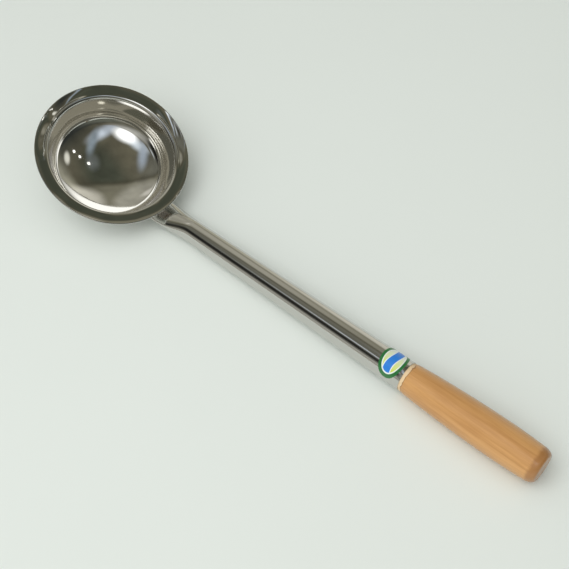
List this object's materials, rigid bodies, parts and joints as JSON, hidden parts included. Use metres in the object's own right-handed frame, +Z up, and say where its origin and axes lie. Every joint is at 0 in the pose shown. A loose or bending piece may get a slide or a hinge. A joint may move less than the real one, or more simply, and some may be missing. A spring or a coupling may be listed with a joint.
{
  "type": "soup ladle",
  "caption": "Steel soup ladle with a wide-brimmed round bowl, a hollow tapered handle welded under the brim, and a turned wooden grip.",
  "frame": {"origin": "centre of the part's bounding box, at the height of the table that it lies on", "axes": "+X along the handle from the bowl towards the grip, +Z up when the ladle lies at rest, +Y to the left when looking along +X"},
  "size_m": [0.4478, 0.118, 0.0611],
  "materials": {
    "polished_steel": "pressed stainless steel, polished bright, with faint spinning rings",
    "handle_steel": "drawn stainless tube, polished bright",
    "weld_metal": "raw weld, rippled and slightly tinted by heat",
    "grip_wood": "turned hardwood under clear satin lacquer, raw at the front chamfer",
    "nail_steel": "plain wire nail",
    "label_film": "glossy printed sticker"
  },
  "bodies": {
    "root": {"bowl": "polished_steel", "handle_tube": "handle_steel", "weld_bead": "weld_metal", "grip": "grip_wood", "grip_nail": "nail_steel", "label": "label_film"}
  },
  "joints": []
}
